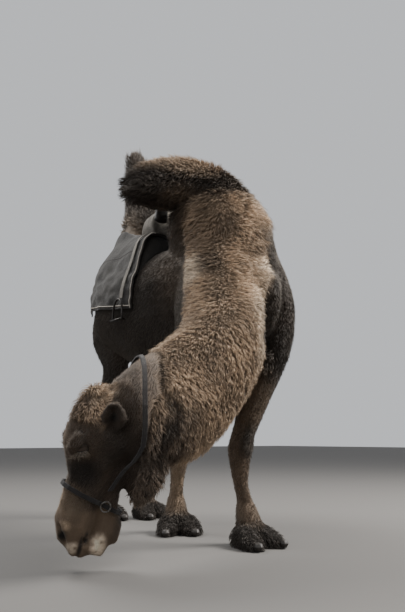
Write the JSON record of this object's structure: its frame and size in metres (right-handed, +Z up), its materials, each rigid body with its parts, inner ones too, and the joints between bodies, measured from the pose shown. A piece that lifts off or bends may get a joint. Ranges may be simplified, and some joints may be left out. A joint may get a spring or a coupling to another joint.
{
  "type": "bactrian camel",
  "caption": "Life-size standing bactrian camel with its head lowered to the ground, wearing a saddle cloth, a seat, stirrups and a halter.",
  "frame": {"origin": "on the floor under the middle of the camel's bounding box, soles at z = 0", "axes": "+Z up, -Y the way the body faces, +X the camel's left side"},
  "size_m": [1.494, 1.8182, 2.3497],
  "materials": {
    "wool_dark": "long dark wool of the humps, tail and feet",
    "wool_brown": "brown wool of the body, neck and head",
    "wool_pale": "short paler coat of the legs and muzzle",
    "eye": "wet, dark brown",
    "nail": "dull dark horn",
    "saddle_cloth": "coarse woven wool with a darker band and a paler edge binding",
    "saddle_seat": "pale canvas, stuffed",
    "pommel": "dark worn leather",
    "strap": "pale woven webbing",
    "stirrup_iron": "dark worn iron",
    "halter_ring": "worn bright steel",
    "halter": "dark flat-woven rope"
  },
  "bodies": {
    "root": {"trunk": "wool_brown", "hump_front": "wool_dark", "hump_rear": "wool_dark", "neck_lower": "wool_brown", "neck_upper": "wool_brown", "head": "wool_brown", "muzzle": "wool_pale", "ear_left": "wool_brown", "ear_right": "wool_brown", "eye_left": "eye", "eye_right": "eye", "tail": "wool_dark", "leg_front_left_upper": "wool_pale", "leg_front_left_lower": "wool_pale", "foot_front_left": "wool_dark", "nail_front_left_left": "nail", "nail_front_left_right": "nail", "leg_front_right_upper": "wool_pale", "leg_front_right_lower": "wool_pale", "foot_front_right": "wool_dark", "nail_front_right_left": "nail", "nail_front_right_right": "nail", "leg_hind_left_upper": "wool_pale", "leg_hind_left_lower": "wool_pale", "foot_hind_left": "wool_dark", "nail_hind_left_left": "nail", "nail_hind_left_right": "nail", "leg_hind_right_upper": "wool_pale", "leg_hind_right_lower": "wool_pale", "foot_hind_right": "wool_dark", "nail_hind_right_left": "nail", "nail_hind_right_right": "nail", "saddle_cloth_middle": "saddle_cloth", "saddle_cloth_left": "saddle_cloth", "saddle_cloth_right": "saddle_cloth", "saddle_seat": "saddle_seat", "pommel_left": "pommel", "pommel_right": "pommel", "stirrup_strap_left": "strap", "stirrup_strap_right": "strap", "stirrup_left": "stirrup_iron", "stirrup_right": "stirrup_iron", "halter_noseband": "halter", "halter_headstall": "halter", "halter_ring_left": "halter_ring", "halter_ring_right": "halter_ring"}
  },
  "joints": []
}
